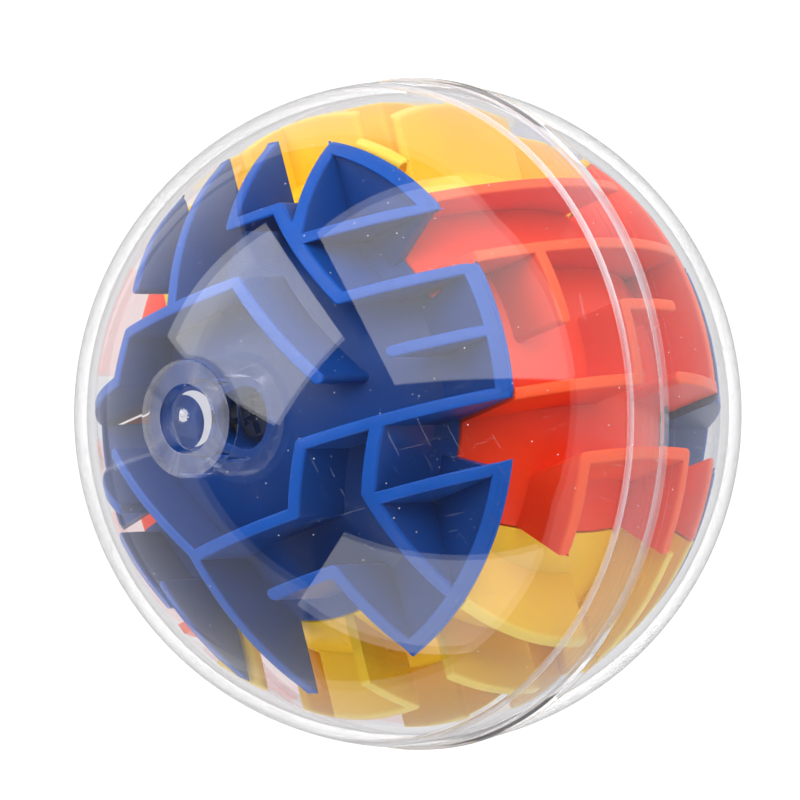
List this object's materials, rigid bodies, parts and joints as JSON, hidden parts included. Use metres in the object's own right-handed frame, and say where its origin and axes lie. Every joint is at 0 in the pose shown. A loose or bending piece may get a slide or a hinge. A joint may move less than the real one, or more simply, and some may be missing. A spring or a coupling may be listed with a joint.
{
  "type": "3d maze ball puzzle",
  "caption": "Clear spherical shell round a blue, orange and yellow maze core, with a loose steel ball that is rolled through the channels by turning the puzzle.",
  "frame": {"origin": "centre of the ball", "axes": "+Z through the front pole; +X through the middle of the right orange segment; +Y through the middle of the top yellow segment"},
  "size_m": [0.0806, 0.0806, 0.0788],
  "materials": {
    "clear_shell": "clear polished styrene with fine scratches",
    "blue_plastic": "satin moulded",
    "orange_plastic": "satin moulded, slightly translucent",
    "yellow_plastic": "satin moulded, slightly translucent",
    "white_plastic": "plain moulded",
    "screw_steel": "zinc plated",
    "ball_steel": "polished bearing ball"
  },
  "bodies": {
    "puzzle": {"shell_front": "clear_shell", "shell_back": "clear_shell", "cap_front": "blue_plastic", "cap_back": "blue_plastic", "segment_orange_right": "orange_plastic", "segment_orange_left": "orange_plastic", "segment_yellow_top": "yellow_plastic", "segment_yellow_bottom": "yellow_plastic", "core_column": "white_plastic", "screw_front": "screw_steel", "screw_back": "screw_steel"},
    "steel_ball": {"steel_ball": "ball_steel"}
  },
  "joints": [
    {"name": "ball_run", "type": "hinge", "parent": "puzzle", "child": "steel_ball", "pos_m": [0, 0, -0.0343], "axis": [0, 0, 1], "continuous": true}
  ]
}
